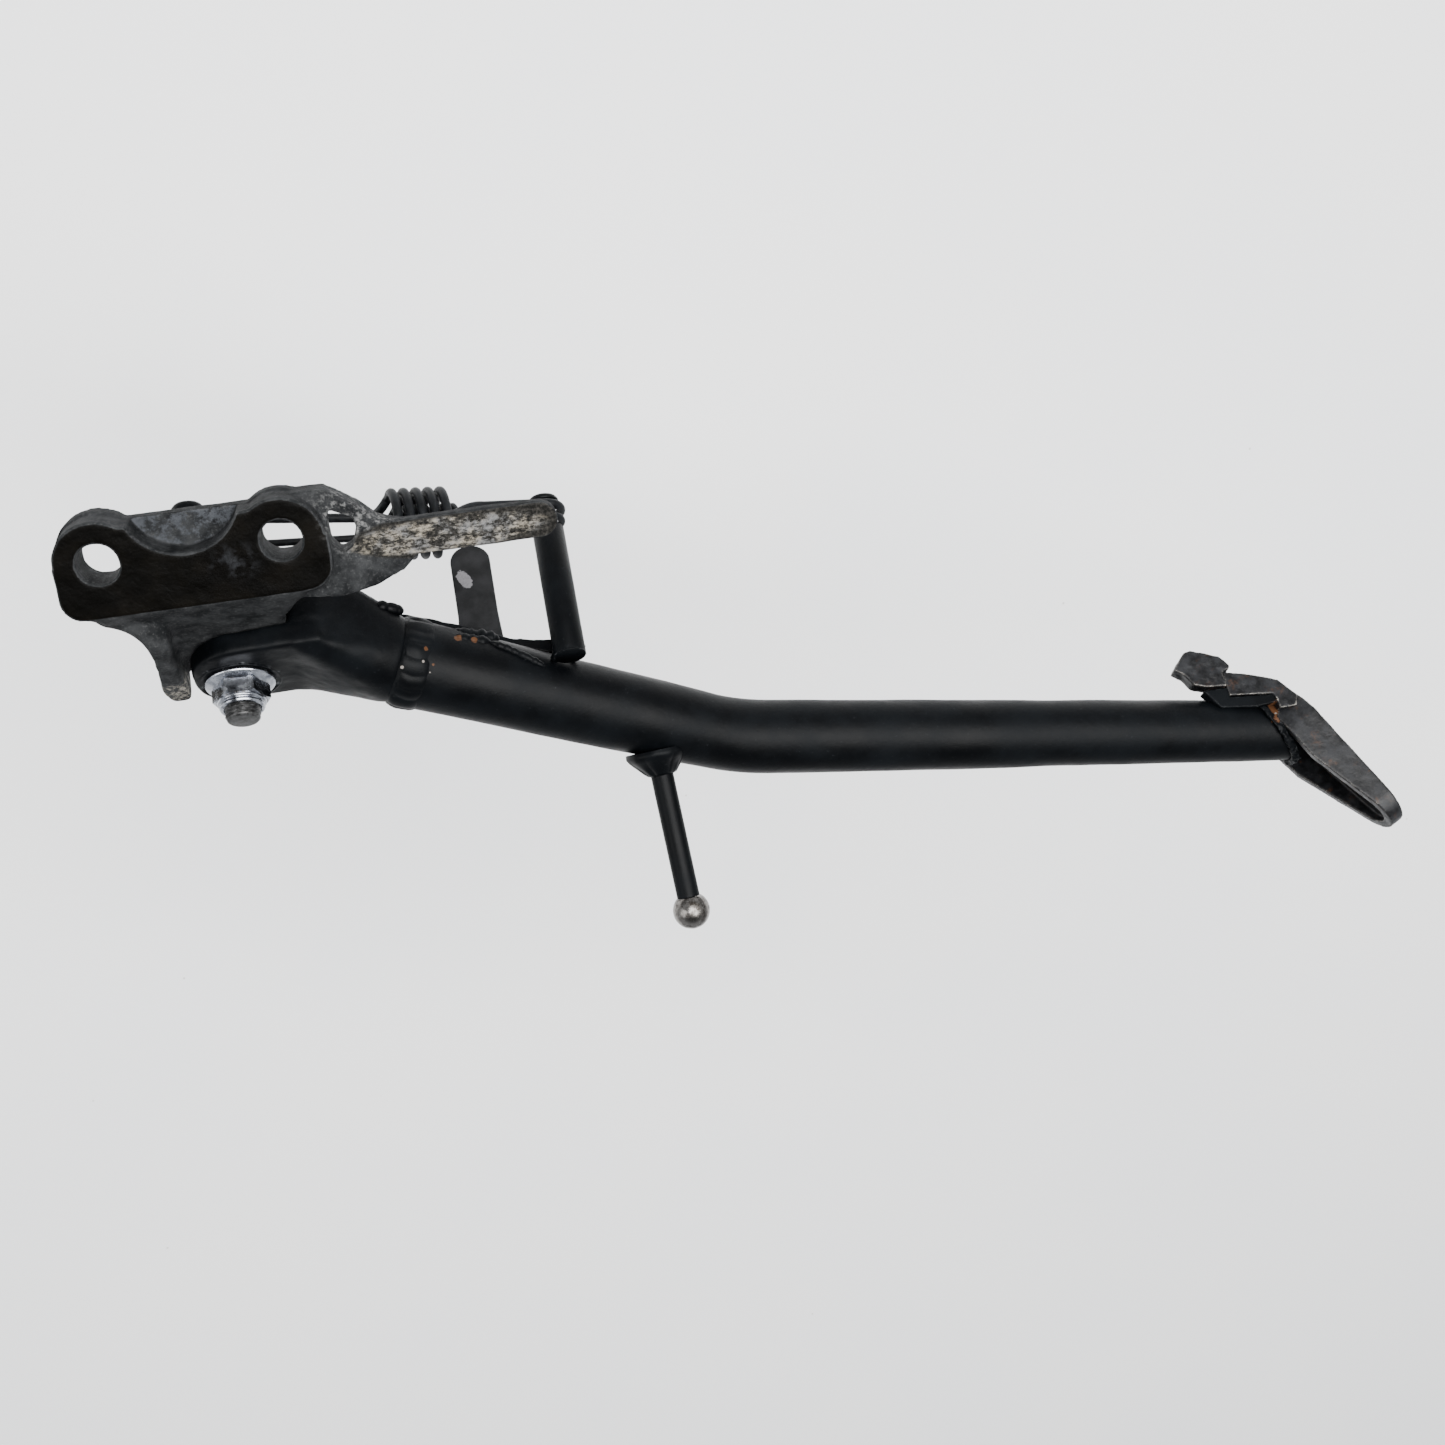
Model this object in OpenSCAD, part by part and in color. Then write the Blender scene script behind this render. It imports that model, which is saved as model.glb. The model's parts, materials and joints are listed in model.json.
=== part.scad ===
// Motorcycle side stand: cast bracket, forked leg, double return spring and dished foot.
// Origin: centre of the front bolt bore on the mounting face. +X runs to the rear bore,
// +Z points the way the bolts are fitted from, +Y points to the inboard edge of the bracket.
// The leg is drawn stowed. "Pivot frame" means: origin on the pivot axis at the outer face of
// the near fork ear, z along the pivot bolt towards its nut, x parallel to the bracket's X.

/* [Bracket] */
// Distance between the two mounting bores
bolt_pitch = 47; // [44:1:54]
// Diameter of each mounting bore
bore_d = 11; // [9:0.5:12]
// Depth of the mounting bores
boss_h = 12.4; // [10:0.2:15]
// Radius of each boss
boss_r = 11.4; // [10.5:0.1:12]
// Thickness of the thin web between the bosses
web_t = 4; // [3:0.5:6]
// How far the arm reaches behind the rear bore
arm_reach = 73; // [60:1:80]
// Height of the arm
arm_w = 10.2; // [8:0.2:12]
// Thickness of the arm
arm_t = 4; // [3:0.5:6]
// Depth of the rib that carries the arm
root_t = 8; // [6:0.5:10]

/* [Pivot] */
// Tilt of the pivot bolt away from the direction of the mounting bores
pivot_tilt = 43; // [38:1:48]
// Place of the pivot along the line of the bores
pivot_x = 25.5; // [22:0.5:29]
// How far the pivot lies outboard of the bores
pivot_drop = 45.7; // [44:0.1:48]
// How far the outer face of the near ear lies behind the mounting face
pivot_back = 10.7; // [9:0.1:13]
// Shank diameter of the pivot bolt
shank_d = 12; // [10:0.5:12]
// Thread diameter of the pivot bolt
thread_d = 10; // [8:1:10]
// Width across the flats of the pivot nut
nut_af = 14; // [13:1:16]

/* [Leg] */
// Thickness of each fork ear
ear_t = 7; // [6:0.5:8]
// Width of the slot between the ears
slot_w = 12; // [10:0.5:14]
// Outside diameter of the tube at the fork
tube_d_top = 26; // [23:0.2:27]
// Outside diameter of the tube at the foot
tube_d_foot = 19.8; // [17:0.2:22]
// Wall thickness of the tube
tube_wall = 2.3; // [1.5:0.1:3]
// Diameter of the tang
tang_d = 7; // [5:0.5:9]
// Diameter of the ball on the tang
ball_d = 11.4; // [10:0.2:13]

/* [Foot] */
// Radius of the foot plate's heel, beside the tube
heel_r = 14.8; // [13:0.2:16]
// Radius of its toe
toe_r = 9.6; // [8:0.2:12]
// Distance between the centres of heel and toe
foot_run = 31.6; // [25:0.2:36]
// Sheet thickness of the foot plate
foot_t = 3; // [2:0.5:4]
// Height of the turned-up rim of the foot plate beside the tube
rim_h = 11; // [8:0.5:12]

/* [Springs] */
// Diameter of the two posts that the springs hook on
post_d = 9.6; // [8:0.2:11]
// Wire diameter of the outer spring
outer_wire_d = 2.8; // [2.2:0.1:3]
// Wire diameter of the inner spring
inner_wire_d = 2.2; // [1.6:0.1:2.4]
// Outside diameter of the outer coil
outer_coil_d = 21.6; // [20:0.2:22.4]

/* [Hidden] */
$fn = 64;
gap = 0.4;                                   // clearance between parts that swing past each other
face_room = 5.1;                             // free depth behind the mounting face
bore_r = bore_d / 2;
fork_w = 2 * ear_t + slot_w;                 // width over both ears
// Spring anchors in the pivot frame, and the plane they share
pin_xy = [-8.6, 11.2];
post_xy = [93.8, -6.4];
spring_z = -43.5;
pin_foot_d = 6.4;
pin_arm_z = -33.4;                           // spring side of the arm that holds the pin
pin_arm_t = 6;
groove_r = 3.4;
groove_h = 8.4;
spring_run = norm(post_xy - pin_xy);
spring_yaw = atan2(post_xy[1] - pin_xy[1], post_xy[0] - pin_xy[0]);
// Leg centre line in the pivot frame: fork axis, bend and foot end
axis_start = [0, 9.4, -13.9];
upper_dir = unit([1, -0.355, 0.262]);
lower_dir = unit([1, -0.08, 0.12]);
socket_s = 48;                               // distance along the leg where the fork socket ends
bend_s = 156.3;
bend_r = 70;
bend_angle = acos(upper_dir * lower_dir);
bend_cut = bend_r * tan(bend_angle / 2);
bend_pt = axis_start + bend_s * upper_dir;
lower_len = 184;
bend_d = 23.3;
// The tang starts on the tube's axis; its first stretch lies inside the tube and isn't made.
tang_root = [115.9, -32.3, 16.9];
tang_dir = unit([0.06, -0.39, 0.92]);
tang_len = 60;
tang_hidden = 9;
ear_c = [2, 3];
ear_r = 14.5;
spot_r = 10.8;                               // flat that the nut's flange sits on
tongue_r = 12;
root_x = 17;                                 // bottom of the fork slot
foot_c = [338, -53.7, 58.8];                 // centre of the sole
foot_yaw = -65;
foot_roll = 13;
rim_fall = 11.6;                             // how the rim's top slopes down to the toe, degrees
rim_fall_x = -5;                             // where that slope begins
eps = 0.01;

function unit(v) = v / norm(v);
function bezier(a, b, c, d, t) =
    pow(1 - t, 3) * a + 3 * t * pow(1 - t, 2) * b + 3 * t * t * (1 - t) * c + pow(t, 3) * d;

// Places children drawn along +Z so that they start at p and run towards dir.
module along(p, dir) {
    translate(p) rotate([0, acos(dir[2] / norm(dir)), atan2(dir[1], dir[0])]) children();
}

module pivot_frame() {
    translate([pivot_x, -pivot_drop, -pivot_back]) rotate([pivot_tilt, 0, 0]) children();
}

module foot_frame() {
    pivot_frame() foot_local() children();
}

// Cylinder with a small chamfer on both ends, standing on z = 0.
module chamfered_rod(d, h, c) {
    cylinder(d1 = d - 2 * c, d2 = d, h = c);
    translate([0, 0, c]) cylinder(d = d, h = h - 2 * c);
    translate([0, 0, h - c]) cylinder(d1 = d, d2 = d - 2 * c, h = c);
}

// ---- Bracket ----

// Full-height part: both bosses and the bar under them, with a round pocket between.
module thick_outline() {
    difference() {
        union() {
            circle(r = boss_r);
            translate([bolt_pitch, 0]) circle(r = boss_r);
            translate([2, -2]) square([bolt_pitch - 4, 11]);
            translate([-6.4, -14.8]) square([bolt_pitch + 11, 15]);
            translate([-11.7, -9.2]) square([8, 9.2]);
            translate([-6.2, -9.2]) circle(r = 5.6);
            translate([bolt_pitch + 4.6, -7.4]) circle(r = 7.4);
            translate([bolt_pitch + 4, -7.4]) square([8, 7.4]);
        }
        translate([bolt_pitch / 2 - 0.7, 15.2]) circle(r = 15.3);
    }
}

module web_outline() {
    circle(r = boss_r + 0.7);
    translate([bolt_pitch, 0]) circle(r = boss_r + 0.5);
    translate([0, -3]) square([bolt_pitch, 12.1]);
}

// Rib that carries the arm round the small window beside the rear boss.
module arm_root() {
    difference() {
        linear_extrude(root_t) polygon([
            [bolt_pitch - 2, 11], [bolt_pitch + 12, 10.8], [bolt_pitch + 16.4, 8.2],
            [bolt_pitch + 21.2, 4.6], [bolt_pitch + 25.3, 0.6], [bolt_pitch + 34, -2.2],
            [bolt_pitch + 34, -10.4],
            [bolt_pitch + 30, -14], [bolt_pitch + 22, -17.6], [bolt_pitch + 12, -19.4],
            [bolt_pitch - 4, -17]]);
        translate([0, 0, -1]) linear_extrude(root_t + 2) polygon([
            [bolt_pitch + 12.8, 5.3], [bolt_pitch + 18.7, 2.3], [bolt_pitch + 19.4, -0.6],
            [bolt_pitch + 17.6, -5.6], [bolt_pitch + 14.6, -6.9], [bolt_pitch + 12.1, -4],
            [bolt_pitch + 11.7, -1]]);
    }
}

module arm() {
    arm_y = -5.2;
    arm_from = 28;
    translate([0, arm_y, root_t - arm_t]) {
        translate([bolt_pitch + arm_from, -arm_w / 2, 0])
            cube([arm_reach - arm_from - arm_w / 2, arm_w, arm_t]);
        translate([bolt_pitch + arm_reach - arm_w / 2, 0, 0]) cylinder(d = arm_w, h = arm_t);
    }
}

module tongue_outline() {
    circle(r = tongue_r);
    polygon([[-tongue_r, 0], [-9, -4], [-15, -4], [-19, 14], [-19, 22],
             [root_x - gap, 22], [root_x - gap, 12], [tongue_r, 0]]);
}

module tongue() {
    translate([0, 0, -ear_t - slot_w + gap])
        linear_extrude(slot_w - 2 * gap) tongue_outline();
}

// Lug that the fork's nose meets when the leg is down.
module stop_lug() {
    translate([0, 0, -fork_w]) linear_extrude(fork_w)
        polygon([[-14.8, 27], [-19.2, 27], [-20.2, 11], [-22, -1.6], [-20.7, -7.4],
                 [-15.4, -8.1], [-14.8, -7]]);
}

// Sloping neck from the thick lower edge of the plate down to the tongue and the lug.
module neck() {
    hull() {
        translate([-6, -14.8, 0.6]) cube([bolt_pitch + 10, 5, boss_h - 0.6]);
        pivot_frame() translate([-19.4, 19.6, -ear_t - slot_w + gap])
            cube([root_x + 19.4 - gap, 3, slot_w - 2 * gap]);
    }
    hull() {
        translate([-9, -13, 0.6]) cube([20, 10, 7]);
        pivot_frame() translate([-19.4, 20, -fork_w]) cube([5.8, 4, fork_w]);
    }
}

// Room that the two ears of the fork sweep through.
module ear_sweep() {
    for (z = [-ear_t - gap, -fork_w - 1]) translate([0, 0, z]) cylinder(r = 18.8, h = ear_t + 8);
}

// Round hollow that makes the neck's lower edge curve down into the lug.
module neck_hollow() {
    hollow_dir = unit([0.211, 0.866, 0.4535]);
    along([-37.03, 0.25, -7] - 35 * hollow_dir, hollow_dir) cylinder(r = 13.4, h = 70);
}

// Arm that passes behind the fork and holds the foot of the spring pin.
module pin_arm() {
    pin_boss_r = 5.2;
    translate([pin_xy[0] - pin_boss_r, 19.6, pin_arm_z]) cube([2 * pin_boss_r, 6, 17]);
    translate([pin_xy[0], pin_xy[1], pin_arm_z]) cylinder(r = pin_boss_r, h = pin_arm_t);
    translate([pin_xy[0] - pin_boss_r, pin_xy[1], pin_arm_z]) cube([2 * pin_boss_r, 12, pin_arm_t]);
}

module bracket_body() {
    difference() {
        union() {
            linear_extrude(boss_h) thick_outline();
            linear_extrude(web_t) web_outline();
            arm_root();
            arm();
            neck();
        }
        pivot_frame() {
            ear_sweep();
            neck_hollow();
        }
    }
    pivot_frame() {
        tongue();
        stop_lug();
        pin_arm();
    }
}

module bracket_casting() color("dimgray") difference() {
    bracket_body();
    for (x = [0, bolt_pitch]) translate([x, 0, -20]) cylinder(r = bore_r, h = 60);
    for (x = [0, bolt_pitch]) translate([x, 0, -20]) cylinder(r = boss_r + 2, h = 20);
    translate([-14, -14.7, -face_room]) cube([bolt_pitch + 28, 34, face_room]);
    pivot_frame() {
        translate([0, 0, -fork_w]) cylinder(d = shank_d + 3, h = fork_w);
        translate([pin_xy[0], pin_xy[1], pin_arm_z - 1]) cylinder(d = pin_foot_d, h = pin_arm_t + 2);
    }
}

module pivot_bush() color("darkgoldenrod") pivot_frame() difference() {
    translate([0, 0, -ear_t - slot_w + 0.2]) cylinder(d = shank_d + 3, h = slot_w - 0.4);
    translate([0, 0, -fork_w]) cylinder(d = shank_d + 0.1, h = fork_w);
}

// Round post with a wide groove for both spring hooks, and a thinner riveted foot.
module hook_post(foot_z, top_z, foot_d, rivet) {
    difference() {
        union() {
            translate([0, 0, top_z]) chamfered_rod(post_d, foot_z - top_z, 0.8);
            translate([0, 0, foot_z - 1]) cylinder(d = foot_d, h = rivet + 1);
        }
        translate([0, 0, spring_z - groove_h / 2]) difference() {
            cylinder(d = post_d + 2, h = groove_h);
            translate([0, 0, -eps]) cylinder(r = groove_r, h = groove_h + 2 * eps);
        }
    }
}

module bracket_spring_pin() color("dimgray") pivot_frame()
    translate([pin_xy[0], pin_xy[1], 0]) hook_post(pin_arm_z, -52.4, pin_foot_d, pin_arm_t);

// ---- Pivot fasteners ----

module pivot_bolt() color("slategray") pivot_frame() {
    translate([0, 0, -fork_w - 6.4]) cylinder(d = nut_af / cos(30), h = 6.4, $fn = 6);
    translate([0, 0, -fork_w]) cylinder(d = shank_d, h = fork_w);
    cylinder(d = thread_d, h = 11.4);
    translate([0, 0, 11.4]) cylinder(d1 = thread_d, d2 = thread_d - 1.8, h = 1.2);
}

module pivot_nut() color("silver") pivot_frame() difference() {
    union() {
        cylinder(d = 19.6, h = 1.6);
        translate([0, 0, 1.6]) cylinder(d1 = 19.6, d2 = nut_af, h = 1.2);
        rotate([0, 0, -5]) cylinder(d = nut_af / cos(30), h = 6.4, $fn = 6);
        translate([0, 0, 6]) cylinder(d1 = 13, d2 = 12, h = 3.2);
    }
    translate([0, 0, -1]) cylinder(d = thread_d + 0.1, h = 14);
}

// ---- Leg ----

module ear_outline() {
    translate(ear_c) circle(r = ear_r);
    polygon([[ear_c[0], ear_c[1] - ear_r], [ear_c[0], ear_c[1] + ear_r],
             [root_x + 9, 18], [root_x + 9, -13]]);
}

// Solid between the fork's root and the tube's end.
module socket_block() {
    hull() {
        translate([root_x, -11.6, -fork_w]) cube([8, 29, fork_w]);
        along(axis_start + (socket_s - 9) * upper_dir, upper_dir)
            cylinder(d1 = tube_d_top - 2, d2 = tube_d_top - 0.6, h = 9, $fn = 32);
    }
}

module leg_head() color("#23262b") pivot_frame() difference() {
    union() {
        for (z = [-fork_w, -ear_t]) translate([0, 0, z]) linear_extrude(ear_t) ear_outline();
        socket_block();
        along(axis_start + (socket_s - 2) * upper_dir, upper_dir)
            cylinder(d = tube_d_top - 2 * tube_wall - 0.8, h = 12);
        translate([10.4, -19, -fork_w]) cube([12.2, 10, ear_t - 0.6]);
        translate([0, 0, -1]) cylinder(r = spot_r + 1, h = 1.5);
    }
    translate([-30, -40, -ear_t - slot_w]) cube([30 + root_x, 80, slot_w]);
    cylinder(r = spot_r, h = 3);
    translate([0, 0, -fork_w - 1]) cylinder(d = shank_d + 0.2, h = fork_w + 2);
    along(axis_start + socket_s * upper_dir, upper_dir) difference() {
        cylinder(d = tube_d_top + 6, h = 20);
        translate([0, 0, -1]) cylinder(d = tube_d_top - 2 * tube_wall - 0.8, h = 22);
    }
}

// Straight tapering part of the leg above the bend; wall is taken off all round.
module upper_bar(wall, over = 0) {
    along(axis_start + (socket_s - over) * upper_dir, upper_dir)
        cylinder(d1 = tube_d_top - 2 * wall, d2 = bend_d - 2 * wall,
                 h = bend_s - bend_cut - socket_s + over);
}

// Straight tapering part below the bend.
module lower_bar(wall, over = 0) {
    along(bend_pt + bend_cut * lower_dir, lower_dir)
        cylinder(d1 = bend_d - 2 * wall, d2 = tube_d_foot - 2 * wall,
                 h = lower_len - bend_cut + over);
}

// Bend between the two, as a length of a ring.
module bend_arc() {
    turn_axis = unit(cross(upper_dir, lower_dir));
    inward = cross(turn_axis, upper_dir);
    centre = bend_pt - bend_cut * upper_dir + bend_r * inward;
    multmatrix([[-inward[0], upper_dir[0], turn_axis[0], centre[0]],
                [-inward[1], upper_dir[1], turn_axis[1], centre[1]],
                [-inward[2], upper_dir[2], turn_axis[2], centre[2]], [0, 0, 0, 1]])
        rotate_extrude(angle = bend_angle) translate([bend_r, 0]) difference() {
            circle(d = bend_d);
            circle(d = bend_d - 2 * tube_wall);
        }
}

module leg_tube() color("#1b1f26") pivot_frame() {
    difference() {
        upper_bar(0);
        upper_bar(tube_wall);
    }
    bend_arc();
    difference() {
        lower_bar(0);
        lower_bar(tube_wall);
        below_foot();
    }
}

// Everything on the ground side of the foot plate's upper face.
module below_foot() {
    foot_local() translate([-60, -40, foot_t - 40]) cube([120, 80, 40]);
}

// Low weld band round the tube's end, tapered on both sides.
module head_weld() color("#2b2f36") pivot_frame()
    along(axis_start + socket_s * upper_dir, upper_dir) difference() {
        weld_d = tube_d_top + 1.3;
        union() {
            cylinder(d1 = weld_d - 0.8, d2 = weld_d, h = 2);
            translate([0, 0, 2]) cylinder(d = weld_d, h = 3.6);
            translate([0, 0, 5.6]) cylinder(d1 = weld_d, d2 = weld_d - 0.8, h = 2);
        }
        translate([0, 0, -1]) cylinder(d = tube_d_top + 0.04, h = 10);
    }

module rib_shape() {
    rib_points = [[34, -7.5, -20.4, 14], [60, -15.4, -14, 9.6], [76, -19.6, -8.6, 5.6],
                  [88, -20.4, -7, 4]];
    for (i = [0:2]) hull() for (p = [rib_points[i], rib_points[i + 1]])
        translate([p[0], p[1], p[2]]) cube([3, 4, p[3]]);
}

// Low rib along the inboard side of fork and tube, behind the guard tab.
module gusset_rib() color("#23262b") pivot_frame() difference() {
    rib_shape();
    upper_bar(-0.02);
    socket_block();
    tab_space();
}

module tab_space() {
    translate([61.4, -22.6, -22]) cube([14.7, 5.2, 22]);
}

// Flat strap that stands beside the coils, with a rounded free end and a slight fold.
module spring_guard_tab() color("#4a4f58") pivot_frame() difference() {
    union() {
        translate([63, -19.5, 0]) rotate([90, 0, 0]) linear_extrude(3) {
            translate([0, -39.6]) square([12.2, 19.6]);
            translate([6.1, -39.6]) scale([1, 0.9]) circle(d = 12.2);
        }
        hull() {
            translate([63, -22.5, -21]) cube([12.2, 3, 1]);
            translate([61.5, -20.5, -3]) cube([14.5, 3, 1]);
        }
    }
    upper_bar(-0.02);
}

module tab_weld() color("#2b2f36") pivot_frame() difference() {
    translate([61, -24.2, -7]) rotate([0, 90, 0]) cylinder(d = 4, h = 15.5, $fn = 24);
    upper_bar(-0.02);
    tab_space();
}

module spring_post() color("#1b1f26") pivot_frame() difference() {
    translate([post_xy[0], post_xy[1], 0]) hook_post(4.5, -49.8, post_d, 0);
    upper_bar(-0.02);
}

module post_weld() color("#2b2f36") pivot_frame() difference() {
    translate([post_xy[0], post_xy[1] - 3, 2.2]) rotate([0, 12, 0])
        rotate_extrude() translate([post_d / 2 + 0.2, 0]) circle(r = 1.8, $fn = 16);
    upper_bar(-0.02);
    translate([post_xy[0], post_xy[1], -20]) cylinder(d = post_d + 0.04, h = 30);
}

module tang_rod() color("#1b1f26") pivot_frame() difference() {
    along(tang_root + tang_hidden * tang_dir, tang_dir)
        cylinder(d = tang_d, h = tang_len - tang_hidden);
    upper_bar(-0.02);
}

module tang_ball() color("silver") pivot_frame()
    along(tang_root + tang_len * tang_dir, tang_dir) rotate_extrude() difference() {
        intersection() {
            circle(d = ball_d);
            translate([0, -ball_d]) square([ball_d, 2 * ball_d]);
        }
        translate([-1, -ball_d]) square([tang_d / 2 + 1, ball_d]);
    }

module tang_weld() color("#2b2f36") pivot_frame() difference() {
    along(tang_root + tang_hidden * tang_dir, tang_dir)
        cylinder(d1 = 18, d2 = tang_d + 1.4, h = 8.4);
    upper_bar(-0.02);
    along(tang_root, tang_dir) cylinder(d = tang_d + 0.04, h = 30);
}

// ---- Foot ----

module foot_outline(inset) {
    hull() {
        translate([-15, -1.5]) circle(r = heel_r - inset);
        translate([foot_run - 15, 3.4]) circle(r = toe_r - inset);
    }
}

// Dished plate whose rim runs down from heel to toe.
module foot_plate() color("#33302f") foot_frame() difference() {
    linear_extrude(rim_h) foot_outline(0);
    translate([0, 0, foot_t]) linear_extrude(rim_h) foot_outline(foot_t);
    translate([rim_fall_x, -30, rim_h]) rotate([0, rim_fall, 0]) cube([60, 60, 20]);
    tube_end_space();
}

module foot_local() {
    translate(foot_c) rotate([0, foot_yaw, 0]) rotate([foot_roll, 0, 0]) children();
}

module foot_plate_space() {
    foot_local() linear_extrude(rim_h + 0.04) foot_outline(-0.02);
}

// The tube's end above the sole, in the foot's own frame.
module tube_end_space() {
    intersection() {
        rotate([-foot_roll, 0, 0]) rotate([0, -foot_yaw, 0]) translate(-foot_c) lower_bar(-0.02);
        translate([-60, -40, foot_t]) cube([120, 80, 40]);
    }
}

// Side profile drawn as [along the leg, inboard to outboard], given a width across the leg.
module side_profile(near_face, width) {
    translate([0, near_face, 0]) rotate([90, 0, 0]) linear_extrude(width) children();
}

// Tail of the foot plate, folded back along the tube.
module foot_strap_outline() {
    polygon([[303, 26.4], [311.5, 28.6], [320.6, 32], [325, 38.4], [324, 42], [318, 42],
             [317.4, 36.6], [303, 35]]);
}

module foot_strap() color("#33302f") pivot_frame() difference() {
    side_profile(-42.8, 17) foot_strap_outline();
    lower_bar(-0.02);
    foot_plate_space();
    foot_web_space();
}

// Upturned lug that a boot catches.
module foot_lug() color("#2b2f36") pivot_frame() side_profile(-42, 5)
    polygon([[287.2, 23.6], [292.2, 18], [294.6, 17.6], [303.6, 21.2], [306, 25], [305, 26.36],
             [302.96, 26.36], [302.96, 31.8], [296, 31.2], [292.2, 29.8], [290, 25.8]]);

module foot_web_outline() {
    polygon([[295, 31.9], [303, 31.9], [303, 35.4], [317, 36.8], [319, 39.4], [311, 40.2], [299, 38.6]]);
}

module foot_web_space() {
    side_profile(-43, 4.52) foot_web_outline();
}

// Side plate that ties the lug and the strap to the tube.
module foot_web() color("#2b2f36") pivot_frame() difference() {
    side_profile(-43.1, 4.4) foot_web_outline();
    lower_bar(-0.02);
    foot_plate_space();
}

// Weld collar round the tube, on the rim's top.
module foot_weld() color("#2b2f36") pivot_frame() difference() {
    intersection() {
        lower_bar(-1.5);
        foot_local() translate([-60, -40, rim_h + 0.05]) cube([120, 80, 2.2]);
    }
    lower_bar(-0.02);
    side_profile(-42.78, 17.04) foot_strap_outline();
}

// ---- Springs ----

module spring_frame() {
    pivot_frame() translate([pin_xy[0], pin_xy[1], spring_z]) rotate([0, 0, spring_yaw]) children();
}

// Arc of a hook round a post at cx, clockwise from angle a0 through turn degrees.
function hook_arc(cx, r, z, a0, turn, n) =
    [for (i = [0:n]) let (a = a0 - turn * i / n) [cx + r * cos(a), r * sin(a), z]];

// Coil from angle a0 to a1; a turn starts at the top, where the angle is 0, at s0.
function coil_arc(s0, pitch, r, a0, a1, n) =
    [for (i = [0:n]) let (a = a0 + (a1 - a0) * i / n) [s0 + pitch * a / 360, r * cos(a), r * sin(a)]];

function blend_arc(a, b, c, d, n) = [for (i = [1:n - 1]) bezier(a, b, c, d, i / n)];

// Whole path of one spring: hook, lead, coil, lead, hook. Its first lead ends at height lead_y
// and leaves the hook on that side.
function spring_path(hook_r, z, s0, pitch, r, turns, lead_y) =
    let (a0 = -90,
         side = sign(lead_y),
         a1 = 360 * turns + 15,
         coil = coil_arc(s0, pitch, r, a0, a1, round((a1 - a0) / 26)),
         coil_in = coil[0],
         coil_out = coil[len(coil) - 1],
         lead_in = [coil_in[0] - 8, lead_y, z],
         lead_out = [coil_out[0] + 12, hook_r, z])
    concat(hook_arc(0, hook_r, z, -70 * side, 200 * side, 8),
           [lead_in],
           blend_arc(lead_in, lead_in + [4, -0.4, 0], coil_in - [1.4, 4.5, 0], coil_in, 5),
           coil,
           blend_arc(coil_out, coil_out + [1.8, -0.9, 2.2], lead_out + [-7, 1.5, 0], lead_out, 6),
           [lead_out],
           hook_arc(spring_run, hook_r, z, 90, 200, 8));

// Round wire swept along a path of points.
module wire(path, d, sides) {
    n = len(path);
    tangents = [for (i = [0:n - 1]) unit(path[min(i + 1, n - 1)] - path[max(i - 1, 0)])];
    sides_dir = [for (i = 0, u = unit(cross(tangents[0], [0, 0, 1])); i < n;
                     i = i + 1, u = i < n ? unit(u - (u * tangents[i]) * tangents[i]) : u) u];
    rings = [for (i = [0:n - 1]) for (k = [0:sides - 1])
        let (a = 360 * k / sides, u = sides_dir[i], v = cross(tangents[i], u))
        path[i] + d / 2 * (cos(a) * u + sin(a) * v)];
    walls = [for (i = [0:n - 2]) for (k = [0:sides - 1])
        let (k2 = (k + 1) % sides)
        [i * sides + k, i * sides + k2, (i + 1) * sides + k2, (i + 1) * sides + k]];
    ends = [[for (k = [sides - 1:-1:0]) k], [for (k = [0:sides - 1]) (n - 1) * sides + k]];
    polyhedron(rings, concat(walls, ends), convexity = 10);
}

module outer_spring() color("#2c3034") spring_frame()
    wire(spring_path(groove_r + outer_wire_d / 2 + 0.15, -2, 58.4, 3.6,
                     (outer_coil_d - outer_wire_d) / 2, 4, 1.2), outer_wire_d, 8);

module inner_spring() color("#2c3034") spring_frame()
    wire(spring_path(groove_r + inner_wire_d / 2 + 0.15, 1.9, 59.4, 2.8, 4.6, 6, -3.5),
         inner_wire_d, 8);

bracket_casting();
pivot_bush();
bracket_spring_pin();
pivot_bolt();
pivot_nut();
leg_head();
leg_tube();
head_weld();
gusset_rib();
spring_guard_tab();
tab_weld();
spring_post();
post_weld();
tang_rod();
tang_ball();
tang_weld();
foot_plate();
foot_strap();
foot_lug();
foot_web();
foot_weld();
outer_spring();
inner_spring();
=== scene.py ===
import json
import math

import bmesh
import bpy
from mathutils import Matrix, Vector
from mathutils import noise as field


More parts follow.
